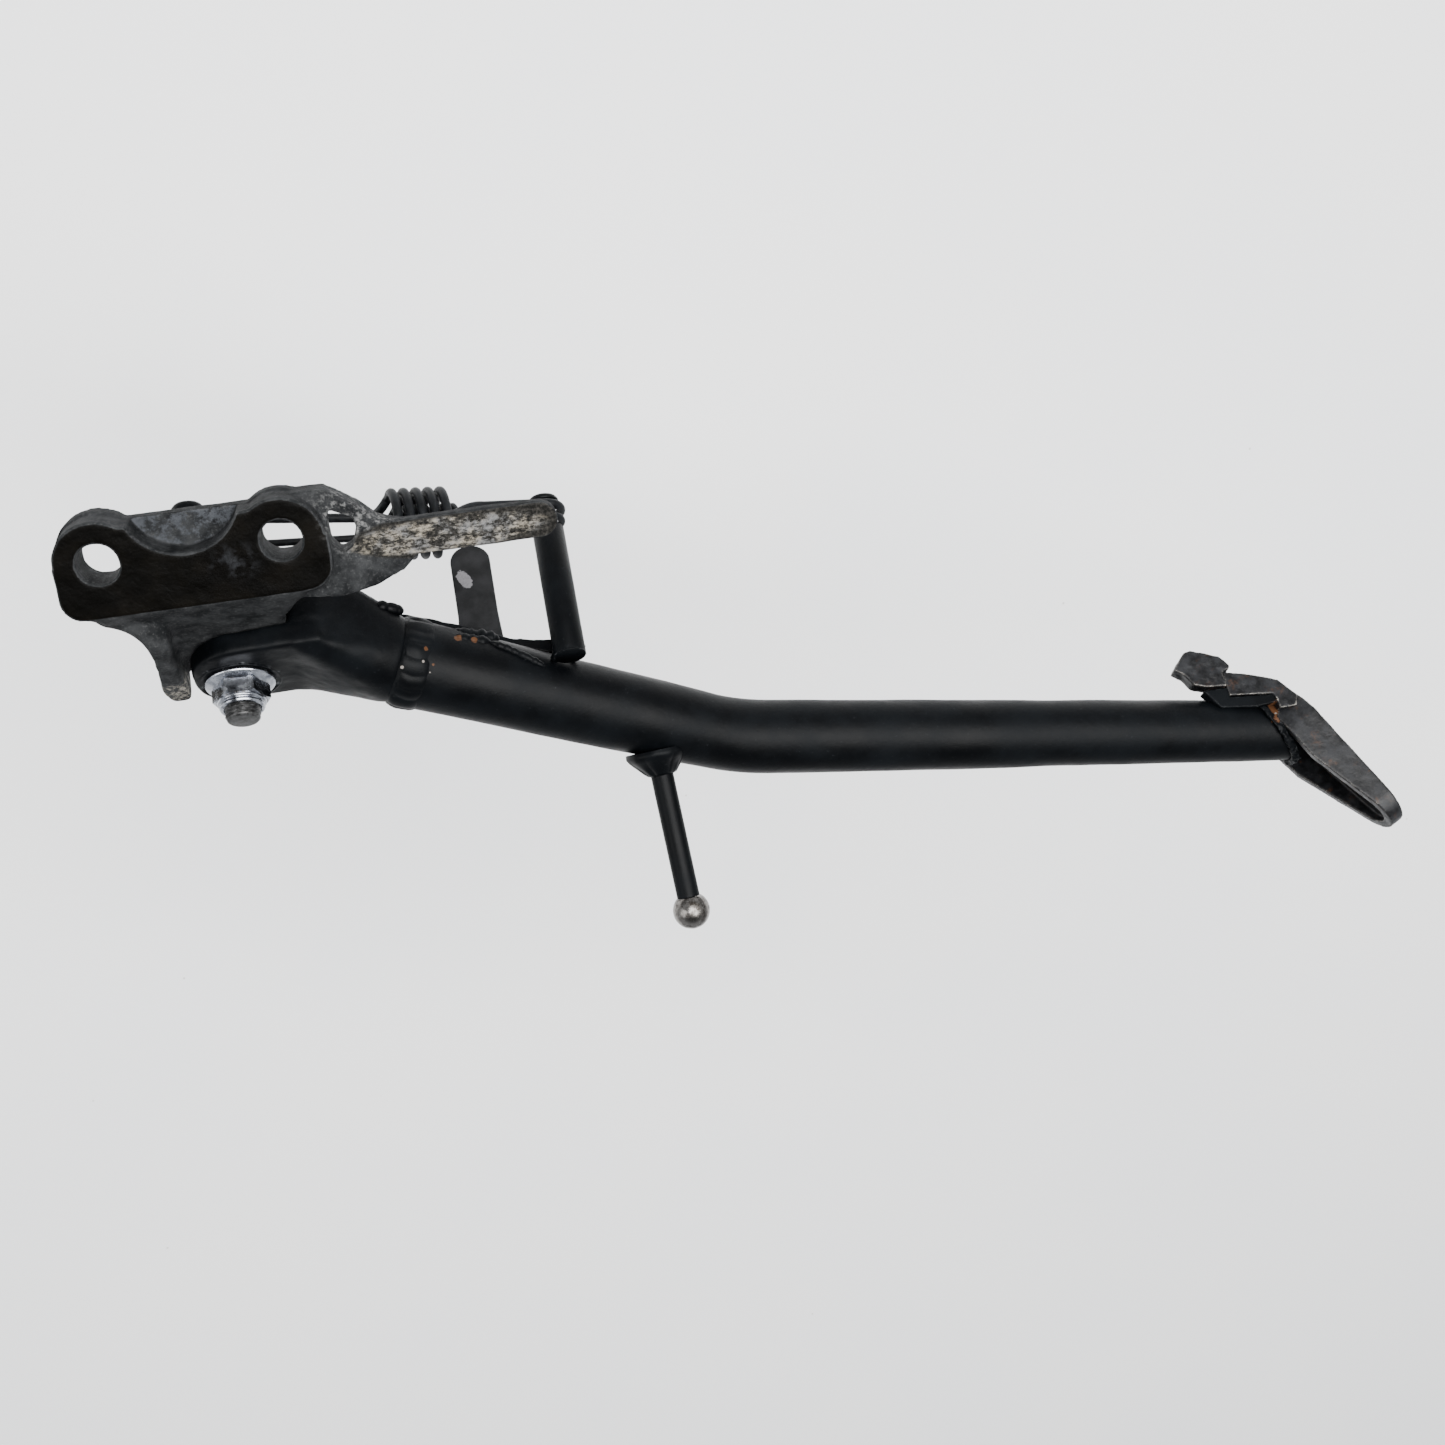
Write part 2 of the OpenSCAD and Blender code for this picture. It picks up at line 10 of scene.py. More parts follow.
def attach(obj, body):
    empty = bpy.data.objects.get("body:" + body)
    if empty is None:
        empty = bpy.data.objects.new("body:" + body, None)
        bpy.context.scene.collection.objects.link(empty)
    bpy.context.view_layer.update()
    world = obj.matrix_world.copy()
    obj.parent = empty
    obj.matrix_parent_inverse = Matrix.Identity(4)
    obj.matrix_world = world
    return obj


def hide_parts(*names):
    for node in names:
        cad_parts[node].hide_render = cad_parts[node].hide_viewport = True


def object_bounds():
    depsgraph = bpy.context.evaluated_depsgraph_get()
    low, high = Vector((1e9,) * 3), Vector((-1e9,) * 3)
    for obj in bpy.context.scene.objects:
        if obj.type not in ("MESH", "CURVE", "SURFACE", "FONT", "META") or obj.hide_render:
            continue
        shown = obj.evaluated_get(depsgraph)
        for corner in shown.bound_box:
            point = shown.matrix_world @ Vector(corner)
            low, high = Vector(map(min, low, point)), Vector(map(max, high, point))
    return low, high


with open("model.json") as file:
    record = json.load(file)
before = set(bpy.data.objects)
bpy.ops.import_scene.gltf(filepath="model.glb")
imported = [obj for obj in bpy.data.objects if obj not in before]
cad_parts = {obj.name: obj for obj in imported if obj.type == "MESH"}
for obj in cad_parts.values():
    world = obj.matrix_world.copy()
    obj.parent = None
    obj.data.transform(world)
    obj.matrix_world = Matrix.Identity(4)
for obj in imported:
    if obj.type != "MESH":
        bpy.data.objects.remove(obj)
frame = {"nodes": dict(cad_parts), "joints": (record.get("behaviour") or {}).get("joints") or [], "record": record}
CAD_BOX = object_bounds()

MM = 0.001


# ---- Places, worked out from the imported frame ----

def named(rows, name):
    return next(row for row in rows if row["name"] == name)


RECORD = frame["record"]
SWING = named(frame["joints"], "leg_swing")
FRONT_BORE = Vector(named(RECORD["mounts"], "front_bolt_bore")["pos_m"])
REAR_BORE = Vector(named(RECORD["mounts"], "rear_bolt_bore")["pos_m"])
BORE_R = named(RECORD["mounts"], "rear_bolt_bore")["dims"]["r_mm"] * MM

# Pivot frame: origin on the bolt's axis at the near ear's face, z towards the nut.
HINGE_DEPTH = 13 * MM
NUT_WAY = -Vector(SWING["axis"]).normalized()
ACROSS = Vector((1, 0, 0))
UPWARD = NUT_WAY.cross(ACROSS)
PIVOT_AXES = Matrix((ACROSS, UPWARD, NUT_WAY)).transposed()
PIVOT = Vector(SWING["pos_m"]) + HINGE_DEPTH * NUT_WAY


def at_pivot(x, y, z):
    """The point that lies x, y, z millimetres along the pivot frame's axes."""
    return PIVOT + PIVOT_AXES @ Vector((x, y, z)) * MM


def along_pivot(x, y, z):
    """A direction given in the pivot frame."""
    return (PIVOT_AXES @ Vector((x, y, z))).normalized()


# Leg centre line, as the tube's bends have it.
SOCKET_RUN = 48
UPPER_RUN = 156.3
LOWER_RUN = 184
BEND_R = 70
LEG_START = at_pivot(0, 9.4, -13.9)
UPPER_WAY = along_pivot(1, -0.355, 0.262)
LOWER_WAY = along_pivot(1, -0.08, 0.12)
SOCKET_END = LEG_START + SOCKET_RUN * MM * UPPER_WAY
BEND_AT = LEG_START + UPPER_RUN * MM * UPPER_WAY
LEG_END = BEND_AT + LOWER_RUN * MM * LOWER_WAY
# Radii of the tube in millimetres: at the fork, along the bend and what each run loses.
TUBE_TOP_R, TUBE_BEND_R = 13, 11.65
UPPER_TAPER, LOWER_TAPER = 1.35, 1.75

# Tang: it starts on the tube's axis.
TANG_WAY = along_pivot(0.06, -0.39, 0.92)
TANG_ROOT = at_pivot(115.9, -32.3, 16.9)
TANG_RUN = 60
BALL_R = 5.7

# Posts and springs, in millimetres of the pivot frame.
PIN_XY = Vector((-8.6, 11.2, 0))
POST_XY = Vector((93.8, -6.4, 0))
SPRING_Z = -43.5
SPRING_RUN = (POST_XY - PIN_XY).length
SPRING_X = (POST_XY - PIN_XY).normalized()
SPRING_Y = Vector((-SPRING_X.y, SPRING_X.x, 0))
GROOVE_R = 3.4
GROOVE_HALF = 4.2
HOOK_PLAY = 0.15
OUTER_WIRE_R, INNER_WIRE_R = 1.4, 1.1
NUT_FLATS = 14

# Foot frame: origin on the sole, x from heel to toe, z away from the ground.
FOOT_AT = at_pivot(338, -53.7, 58.8)
FOOT_AXES = (PIVOT_AXES @ Matrix.Rotation(math.radians(-65), 3, "Y")
             @ Matrix.Rotation(math.radians(13), 3, "X"))


# ---- Camera, light and floor ----

CAMERA_AT = Vector((0.0957, 0.1239, 0.4528))
CAMERA_LOOKS = Vector((0.130246, -0.40149, -0.906555)).normalized()
CAMERA_RIGHT = Vector((0.979793, -0.087863, 0.179681)).normalized()
LENS_MM = 41.97
FLOOR_Z = -0.285
FLOOR_HALF = 4


def add_object(name, data):
    made = bpy.data.objects.new(name, data)
    bpy.context.collection.objects.link(made)
    return made


def make_camera():
    data = bpy.data.cameras.new("camera")
    data.lens = LENS_MM
    data.sensor_width = 36
    data.clip_start = 0.01
    camera = add_object("camera", data)
    back = -CAMERA_LOOKS
    turn = Matrix((CAMERA_RIGHT, back.cross(CAMERA_RIGHT), back)).transposed().to_4x4()
    turn.translation = CAMERA_AT
    camera.matrix_world = turn
    bpy.context.scene.camera = camera


def area_light(name, place, target, size, power, tint=(1, 1, 1)):
    data = bpy.data.lights.new(name, "AREA")
    data.shape = "RECTANGLE"
    data.size, data.size_y = size
    data.energy = power
    data.color = tint
    light = add_object(name, data)
    light.location = place
    way = Vector(target) - Vector(place)
    light.rotation_euler = way.to_track_quat("-Z", "Y").to_euler()


def make_world(overhead, horizon):
    """Soft surroundings that are brighter low down than straight overhead."""
    world = bpy.data.worlds.new("studio")
    world.use_nodes = True
    nodes, links = world.node_tree.nodes, world.node_tree.links
    sky = nodes["Background"]
    sky.inputs["Color"].default_value = (0.93, 0.96, 1, 1)
    way = nodes.new("ShaderNodeTexCoord")
    parts = nodes.new("ShaderNodeSeparateXYZ")
    rise = nodes.new("ShaderNodeMapRange")
    rise.interpolation_type = "SMOOTHSTEP"
    for key, value in ((1, 0.15), (2, 0.85), (3, horizon), (4, overhead)):
        rise.inputs[key].default_value = value
    links.new(way.outputs["Generated"], parts.inputs[0])
    links.new(parts.outputs["Z"], rise.inputs[0])
    links.new(rise.outputs[0], sky.inputs["Strength"])
    bpy.context.scene.world = world


# ---- Materials ----

class Finish:
    """A procedural material. Its patterns lie in the model's own coordinates, in metres."""

    def __init__(self, name, roughness=0.5, metallic=0.0, specular=0.5):
        self.material = bpy.data.materials.new(name)
        self.material.use_nodes = True
        self.nodes = self.material.node_tree.nodes
        self.links = self.material.node_tree.links
        self.shader = self.nodes["Principled BSDF"]
        self.shader.inputs["Roughness"].default_value = roughness
        self.shader.inputs["Metallic"].default_value = metallic
        self.shader.inputs["Specular IOR Level"].default_value = specular
        self.place = self.add("ShaderNodeTexCoord").outputs["Object"]
        self.normal = None

    def add(self, kind, **settings):
        node = self.nodes.new(kind)
        for key, value in settings.items():
            setattr(node, key, value)
        return node

    def feed(self, socket, value):
        if isinstance(value, bpy.types.NodeSocket):
            self.links.new(value, socket)
        elif isinstance(value, (tuple, list, Vector)) and len(value) == 3 and socket.type == "RGBA":
            socket.default_value = (*value, 1)
        else:
            socket.default_value = value

    def math(self, operation, a, b=0.0):
        node = self.add("ShaderNodeMath", operation=operation)
        self.feed(node.inputs[0], a)
        self.feed(node.inputs[1], b)
        return node.outputs[0]

    def fit(self, value, low, high, to_low=0.0, to_high=1.0):
        """Maps low..high smoothly to to_low..to_high, and holds the ends."""
        node = self.add("ShaderNodeMapRange", interpolation_type="SMOOTHSTEP")
        for key, given in zip(range(5), (value, low, high, to_low, to_high)):
            self.feed(node.inputs[key], given)
        return node.outputs[0]

    def mix(self, amount, a, b):
        node = self.add("ShaderNodeMix", data_type="RGBA")
        self.feed(node.inputs[0], amount)
        self.feed(node.inputs[6], a)
        self.feed(node.inputs[7], b)
        return node.outputs[2]

    def noise(self, grain, detail=5.0, rough=0.6, stretch=(1, 1, 1), seed=0.0):
        """Noise whose lumps are about grain millimetres across."""
        spread = self.add("ShaderNodeMapping")
        self.links.new(self.place, spread.inputs["Vector"])
        spread.inputs["Scale"].default_value = stretch
        spread.inputs["Location"].default_value = (seed, seed, seed)
        node = self.add("ShaderNodeTexNoise")
        self.links.new(spread.outputs[0], node.inputs["Vector"])
        node.inputs["Scale"].default_value = 1 / (grain * MM)
        node.inputs["Detail"].default_value = detail
        node.inputs["Roughness"].default_value = rough
        return node.outputs[0]

    def specks(self, grain, size):
        """Small separate dots: 1 inside a dot."""
        node = self.add("ShaderNodeTexVoronoi")
        self.links.new(self.place, node.inputs["Vector"])
        node.inputs["Scale"].default_value = 1 / (grain * MM)
        return self.fit(node.outputs["Distance"], size, size * 0.5)

    def near(self, point, reach, blur=0.3, axes=None):
        """1 round a point, falling to 0 at reach millimetres (a number, or one for each axis)."""
        reach = (reach, reach, reach) if isinstance(reach, (int, float)) else reach
        offset = self.add("ShaderNodeVectorMath", operation="SUBTRACT")
        self.links.new(self.place, offset.inputs[0])
        offset.inputs[1].default_value = point
        turned = offset.outputs[0]
        if axes is not None:
            parts = self.add("ShaderNodeCombineXYZ")
            for key, axis in enumerate(axes):
                dot = self.add("ShaderNodeVectorMath", operation="DOT_PRODUCT")
                self.links.new(turned, dot.inputs[0])
                dot.inputs[1].default_value = axis
                self.links.new(dot.outputs["Value"], parts.inputs[key])
            turned = parts.outputs[0]
        scaled = self.add("ShaderNodeVectorMath", operation="MULTIPLY")
        self.links.new(turned, scaled.inputs[0])
        scaled.inputs[1].default_value = [1 / (r * MM) for r in reach]
        length = self.add("ShaderNodeVectorMath", operation="LENGTH")
        self.links.new(scaled.outputs[0], length.inputs[0])
        return self.fit(length.outputs["Value"], 1, 1 - blur)

    def ragged(self, mask, grain, bite=0.6, seed=0.0):
        """Breaks up the border of a mask with noise."""
        torn = self.math("ADD", mask, self.math("MULTIPLY", self.noise(grain, seed=seed), bite))
        return self.fit(torn, 0.5 + bite * 0.42, 0.5 + bite * 0.62)

    def facing(self, way, low, high):
        """1 where the surface faces the given way, in the model's frame."""
        coords = self.add("ShaderNodeTexCoord")
        dot = self.add("ShaderNodeVectorMath", operation="DOT_PRODUCT")
        self.links.new(coords.outputs["Normal"], dot.inputs[0])
        dot.inputs[1].default_value = way
        return self.fit(dot.outputs["Value"], low, high)

    def reach_along(self, way, point, low, high):
        """0 to 1 between low and high millimetres from a point along a direction."""
        dot = self.add("ShaderNodeVectorMath", operation="DOT_PRODUCT")
        self.links.new(self.place, dot.inputs[0])
        dot.inputs[1].default_value = way
        start = Vector(point).dot(Vector(way))
        return self.fit(dot.outputs["Value"], start + low * MM, start + high * MM)

    def edges(self, width):
        """1 on convex and concave edges."""
        soft = self.add("ShaderNodeBevel", samples=6)
        soft.inputs["Radius"].default_value = width * MM
        sharp = self.add("ShaderNodeNewGeometry")
        dot = self.add("ShaderNodeVectorMath", operation="DOT_PRODUCT")
        self.links.new(soft.outputs[0], dot.inputs[0])
        self.links.new(sharp.outputs["Normal"], dot.inputs[1])
        return self.fit(dot.outputs["Value"], 0.995, 0.9)

    def both(self, a, b):
        return self.math("MULTIPLY", a, b)

    def colour(self, value):
        self.feed(self.shader.inputs["Base Color"], value)

    def rough(self, value):
        self.feed(self.shader.inputs["Roughness"], value)

    def metal(self, value):
        self.feed(self.shader.inputs["Metallic"], value)

    def bump(self, height, depth, strength=1.0):
        """Adds relief: height 0 to 1 stands for depth millimetres."""
        node = self.add("ShaderNodeBump")
        node.inputs["Strength"].default_value = strength
        node.inputs["Distance"].default_value = depth * MM
        self.links.new(height, node.inputs["Height"])
        if self.normal is not None:
            self.links.new(self.normal, node.inputs["Normal"])
        self.normal = node.outputs[0]
        self.links.new(self.normal, self.shader.inputs["Normal"])


def cast_bracket_finish():
    made = Finish("cast_bracket", roughness=0.6, specular=0.04)
    mottle = made.noise(7, detail=8, rough=0.65)
    grit = made.noise(0.9, detail=6, rough=0.7)
    dust = made.mix(made.fit(mottle, 0.35, 0.7), (0.006, 0.0065, 0.007), (0.026, 0.027, 0.028))
    dust = made.mix(made.fit(grit, 0.5, 0.75, 0, 0.4), dust, (0.08, 0.08, 0.08))
    # Painted shade: the highest up-facing face, the front plate, gets a far darker colour than the sloped faces,
    # with a random brownish tone.
    painted_shade_top_face = made.mix(made.fit(made.noise(12, seed=3), 0.4, 0.75),
                    (0.0006, 0.0005, 0.0003), (0.0028, 0.0023, 0.0016))
    faces_up = made.both(made.facing((0, 0, 1), 0.9, 0.97),
                         made.reach_along((0, 0, 1), (0, 0, 0), 11.4, 12))
    smudge = made.near(REAR_BORE + Vector((-13, -4, 12)) * MM, (9, 7, 9), 0.8)
    smudge = made.both(smudge, made.fit(made.noise(4, seed=1), 0.45, 0.7, 0, 0.8))
    painted_shade_top_face = made.mix(smudge, painted_shade_top_face, (0.018, 0.019, 0.021))
    # Painted shade: the up-facing front face takes the dark colour, all other faces the dusty one.
    base = made.mix(faces_up, dust, painted_shade_top_face)
    # Light, corroded patches: the pocket, the ribs round the window, the arm and the lug.
    mid = (FRONT_BORE + REAR_BORE) / 2
    pocket = made.both(made.near(mid + Vector((-1, 8, 4)) * MM, (19, 11, 5), 0.2),
                       made.facing((0, 0, 1), 0.6, 0.9))
    pocket = made.both(pocket, made.fit(made.noise(5, detail=9, rough=0.78, seed=5), 0.44, 0.56))
    base = made.mix(pocket, base, made.mix(grit, (0.010, 0.011, 0.012), (0.062, 0.066, 0.074)))
    window = made.near(REAR_BORE + Vector((21, 3, 6)) * MM, (15, 15, 12), 0.5)
    window = made.both(window, made.fit(made.noise(2.2, detail=9, rough=0.75, seed=2), 0.47, 0.62))
    base = made.mix(made.both(window, made.fit(grit, 0.2, 0.6)), base, (0.13, 0.13, 0.128))
    lug = made.near(at_pivot(-18, -3, -2), (7, 8, 5), 0.3, axes=PIVOT_AXES.transposed())
    lug = made.both(lug, made.fit(made.noise(1.6, detail=8, rough=0.8, seed=8), 0.46, 0.6))
    base = made.mix(lug, base, (0.16, 0.15, 0.13))
    arm_mid = REAR_BORE + Vector((48, -5.2, 8)) * MM
    arm_face = made.both(made.near(arm_mid, (33, 7, 4), 0.1), made.facing((0, 0, 1), 0.7, 0.9))
    base = made.mix(arm_face, base, made.mix(made.fit(grit, 0.4, 0.7),
                                             (0.005, 0.005, 0.0045), (0.03, 0.028, 0.025)))
    arm = made.both(made.near(arm_mid + Vector((-5, -0.4, 0)) * MM, (29, 5.3, 4), 0.25),
                    made.facing((0, 0, 1), 0.75, 0.9))
    worn = made.fit(made.noise(1.7, detail=9, rough=0.8, stretch=(0.55, 1, 1), seed=4), 0.45, 0.62)
    worn = made.both(arm, worn)
    silver = made.mix(made.fit(mottle, 0.4, 0.6), (0.15, 0.15, 0.15), (0.28, 0.25, 0.20))
    base = made.mix(worn, base, silver)
    rim = made.both(made.edges(0.9), made.fit(made.noise(3, seed=9), 0.42, 0.6, 0, 0.5))
    base = made.mix(rim, base, (0.12, 0.12, 0.12))
    made.colour(base)
    made.metal(made.math("MULTIPLY", worn, 0.55))
    made.rough(made.mix(faces_up, (0.68, 0.68, 0.68), (0.42, 0.42, 0.42)))
    made.bump(grit, 0.12)
    made.bump(mottle, 0.25)
    return made.material


def black_paint_finish(name="black_paint", rust_spots=()):
    made = Finish(name, roughness=0.38, specular=0.07)
    cloud = made.noise(22, detail=4)
    base = made.mix(made.fit(cloud, 0.35, 0.7), (0.0006, 0.0008, 0.0011), (0.0020, 0.0027, 0.0035))
    dusty = made.noise(1.1, detail=7, rough=0.75, seed=2)
    base = made.mix(made.fit(dusty, 0.6, 0.78, 0, 0.5), base, (0.035, 0.038, 0.042))
    rub = made.both(made.edges(0.8), made.fit(made.noise(2.5, seed=6), 0.5, 0.66, 0, 0.6))
    base = made.mix(rub, base, (0.09, 0.095, 0.10))
    for spot, reach, tint in rust_spots:
        mark = made.ragged(made.near(spot, reach, 0.9), 0.6, 0.9, seed=reach)
        base = made.mix(mark, base, tint)
    made.colour(base)
    made.rough(made.fit(cloud, 0.3, 0.7, 0.4, 0.54))
    made.bump(dusty, 0.05)
    made.bump(made.noise(3.2, detail=3), 0.08)
    return made.material


def worn_tab_finish():
    made = Finish("worn_tab", roughness=0.45, specular=0.25)
    fine = made.noise(0.7, detail=7, rough=0.7)
    base = made.mix(made.fit(made.noise(6), 0.35, 0.7), (0.003, 0.0032, 0.0035), (0.011, 0.011, 0.012))
    tilt = PIVOT_AXES @ Matrix.Rotation(math.radians(24), 3, "Y")
    bare = made.near(at_pivot(66.6, -19.5, -33.4), (3.4, 5, 5.8), 0.85, axes=tilt.transposed())
    bare = made.ragged(bare, 1.0, 0.8)
    base = made.mix(bare, base, made.mix(fine, (0.10, 0.10, 0.11), (0.34, 0.33, 0.34)))
    rust = made.ragged(made.near(at_pivot(68, -20, -15), 1.4, 0.7), 0.6, 0.4)
    base = made.mix(rust, base, (0.11, 0.06, 0.025))
    made.colour(base)
    made.metal(made.math("MULTIPLY", bare, 0.7))
    made.bump(fine, 0.06)
    return made.material


def zinc_finish():
    made = Finish("zinc_plate", roughness=0.22, metallic=1.0)
    cloud = made.noise(2.4, detail=6)
    base = made.mix(made.fit(cloud, 0.3, 0.7), (0.20, 0.21, 0.24), (0.50, 0.52, 0.56))
    grime = made.both(made.edges(0.5), made.fit(made.noise(1, seed=4), 0.45, 0.6))
    made.colour(made.mix(grime, base, (0.2, 0.19, 0.18)))
    made.rough(made.fit(cloud, 0.3, 0.75, 0.14, 0.34))
    made.bump(made.noise(0.5), 0.02)
    return made.material


def dark_steel_finish(name, tint, shine, roughness=0.45):
    made = Finish(name, roughness=roughness, metallic=0.85)
    cloud = made.noise(1.8, detail=7, rough=0.7)
    made.colour(made.mix(made.fit(cloud, 0.35, 0.7), tint, shine))
    made.rough(made.fit(cloud, 0.3, 0.7, roughness - 0.08, roughness + 0.12))
    made.bump(made.noise(0.6, detail=4), 0.04)
    return made.material


def ball_finish():
    made = Finish("polished_ball", roughness=0.25, metallic=1.0)
    stain = made.noise(3, detail=8, rough=0.7)
    base = made.mix(made.fit(stain, 0.42, 0.66), (0.17, 0.16, 0.15), (0.035, 0.03, 0.026))
    scratch = made.noise(0.5, detail=6, stretch=(1, 0.25, 1))
    made.colour(made.mix(made.fit(scratch, 0.55, 0.7, 0, 0.6), base, (0.36, 0.35, 0.33)))
    made.rough(made.fit(stain, 0.4, 0.7, 0.22, 0.5))
    made.bump(scratch, 0.03)
    return made.material


def foot_finish():
    made = Finish("foot_steel", roughness=0.42, specular=0.25)
    cloud = made.noise(5, detail=8, rough=0.7)
    fine = made.noise(0.8, detail=7, rough=0.75, seed=3)
    base = made.mix(made.fit(cloud, 0.38, 0.66), (0.002, 0.002, 0.0023), (0.010, 0.0105, 0.012))
    base = made.mix(made.fit(fine, 0.56, 0.75, 0, 0.4), base, (0.06, 0.058, 0.055))
    rust = made.both(made.fit(made.noise(4, detail=8, seed=7), 0.54, 0.7), made.fit(fine, 0.4, 0.6))
    base = made.mix(made.math("MULTIPLY", rust, 0.8), base, (0.035, 0.016, 0.008))
    rim = made.both(made.edges(0.7), made.fit(made.noise(2, detail=6, seed=11), 0.36, 0.56))
    base = made.mix(rim, base, (0.30, 0.28, 0.25))
    bend = made.ragged(made.near(at_pivot(322, -52, 41), 4.5, 0.6), 1.2, 0.5)
    base = made.mix(bend, base, (0.45, 0.43, 0.40))
    made.colour(base)
    made.metal(made.fit(rim, 0, 1, 0.1, 0.6))
    made.rough(made.fit(cloud, 0.3, 0.7, 0.32, 0.55))
    made.bump(cloud, 0.15)
    made.bump(fine, 0.06)
    return made.material


def spring_finish():
    made = Finish("spring_wire", roughness=0.5, specular=0.12)
    cloud = made.noise(2.5, detail=7, rough=0.7)
    base = made.mix(made.fit(cloud, 0.35, 0.7), (0.002, 0.0024, 0.0028), (0.009, 0.010, 0.0115))
    made.colour(base)
    made.rough(made.fit(cloud, 0.3, 0.7, 0.42, 0.62))
    made.bump(made.noise(0.6), 0.05)
    return made.material


def bronze_finish():
    made = Finish("bronze_bush", roughness=0.35, metallic=1.0)
    made.colour(made.mix(made.noise(2), (0.30, 0.18, 0.07), (0.52, 0.36, 0.16)))
    made.bump(made.noise(0.5), 0.03)
    return made.material


def floor_finish():
    made = Finish("pale_floor", roughness=0.55)
    broad = made.noise(160, detail=3)
    base = made.mix(made.fit(broad, 0.3, 0.7), (0.92, 0.93, 0.945), (0.95, 0.95, 0.945))
    base = made.mix(made.math("MULTIPLY", made.specks(38, 0.02), 0.5), base, (0.4, 0.38, 0.34))
    made.colour(base)
    made.bump(made.noise(3), 0.05)
    return made.material


RUST = (0.055, 0.024, 0.011)
BARE = (0.16, 0.145, 0.13)
RUST_SPOTS = [
    (at_pivot(53.0, 4.4, 0.6), 1.3, RUST),
    (at_pivot(51.7, 3.9, 4.2), 0.8, BARE),
    (at_pivot(54.4, 2.8, 5.1), 0.9, RUST),
    (at_pivot(45.7, 4.2, 5.2), 0.9, BARE),
    (at_pivot(53.2, 2.0, 7.0), 0.8, BARE),
    (at_pivot(62.5, 0.2, -3.8), 2.2, RUST),
    (at_pivot(67.0, -1.8, -3.2), 1.8, RUST),
    (at_pivot(94.8, -11.1, 13.8), 0.9, BARE),
    (at_pivot(318.0, -46.0, 40.5), 5.5, RUST),
    (at_pivot(316.5, -45.3, 45.0), 3.4, RUST),
    (at_pivot(317.0, -46.2, 42.8), 1.6, BARE),
]

# ---- Shaping ----

def joined(*meshes):
    """Several meshes as one."""
    work = bmesh.new()
    for mesh in meshes:
        work.from_mesh(mesh)
    mesh = bpy.data.meshes.new("joined")
    work.to_mesh(mesh)
    work.free()
    return mesh


def box_mesh(centre, axes, low, high):
    """A box between two corners given in millimetres along some axes."""
    work = bmesh.new()
    bmesh.ops.create_cube(work, size=1)
    for vertex in work.verts:
        spot = Vector([l + (h - l) * (c + 0.5) for l, h, c in zip(low, high, vertex.co)])
        vertex.co = centre + axes @ spot * MM
    mesh = bpy.data.meshes.new("box")
    work.to_mesh(mesh)
    work.free()
    return mesh


def shade_by_angle(piece, degrees):
    """Keeps the edges sharp where two faces meet at more than this angle."""
    work = bmesh.new()
    work.from_mesh(piece.data)
    for edge in work.edges:
        edge.smooth = len(edge.link_faces) == 2 and edge.calc_face_angle(0) < math.radians(degrees)
    work.to_mesh(piece.data)
    work.free()


def finished(mesh, name, body, material, nodes):
    """Makes a piece of a mesh: it rides on a body and stands for some CAD nodes."""
    piece = add_object(name, mesh)
    mesh.materials.clear()
    mesh.materials.append(material)
    mesh.polygons.foreach_set("use_smooth", [True] * len(mesh.polygons))
    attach(piece, body)
    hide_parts(*nodes)
    return piece


def cad_mesh(*nodes):
    """One new mesh holding copies of the CAD nodes' surfaces."""
    work = bmesh.new()
    for node in nodes:
        work.from_mesh(frame["nodes"][node].data)
    bmesh.ops.remove_doubles(work, verts=work.verts, dist=0.001 * MM)
    mesh = bpy.data.meshes.new(nodes[0])
    work.to_mesh(mesh)
    work.free()
    return mesh


def with_modifiers(mesh, *steps):
    """The mesh after some modifiers, each given as (type, settings)."""
    holder = add_object("holder", mesh)
    for kind, settings in steps:
        modifier = holder.modifiers.new(kind, kind)
        for key, value in settings.items():
            setattr(modifier, key, value)
    graph = bpy.context.evaluated_depsgraph_get()
    result = bpy.data.meshes.new_from_object(holder.evaluated_get(graph))
    bpy.data.objects.remove(holder)
    return result


def softened(mesh, voxel, passes, where=None, more=0):
    """Remeshes a solid finely and rounds its edges; where says which points get more rounding."""
    mesh = with_modifiers(
        mesh,
        ("REMESH", {"mode": "VOXEL", "voxel_size": voxel * MM}),
        ("SMOOTH", {"factor": 0.5, "iterations": passes}))
    if where is None:
        return mesh
    chosen = [vertex.index for vertex in mesh.vertices if where(vertex.co)]
    holder = add_object("holder", mesh)
    holder.vertex_groups.new(name="more").add(chosen, 1.0, "ADD")
    step = holder.modifiers.new("more", "SMOOTH")
    step.factor, step.iterations, step.vertex_group = 0.5, more, "more"
    result = bpy.data.meshes.new_from_object(holder.evaluated_get(bpy.context.evaluated_depsgraph_get()))
    bpy.data.objects.remove(holder)
    return result


def roughened(mesh, grain, depth):
    """Moves each point of a mesh along its normal by noise, as a casting's skin has."""
    moves = []
    for vertex in mesh.vertices:
        swell = field.fractal(vertex.co / (grain * MM), 1.0, 2.0, 3)
        moves.append(vertex.co + vertex.normal * swell * depth * MM)
    for vertex, place in zip(mesh.vertices, moves):
        vertex.co = place
    return mesh


def rod_mesh(start, end, radius, sides=64):
    """A plain cylinder between two points, to cut with."""
    work = bmesh.new()
    bmesh.ops.create_cone(work, cap_ends=True, segments=sides, radius1=radius, radius2=radius,
                          depth=(end - start).length)
    turn = (end - start).to_track_quat("Z", "Y").to_matrix().to_4x4()
    turn.translation = (start + end) / 2
    bmesh.ops.transform(work, matrix=turn, verts=work.verts)
    mesh = bpy.data.meshes.new("cutter")
    work.to_mesh(mesh)
    work.free()
    return mesh


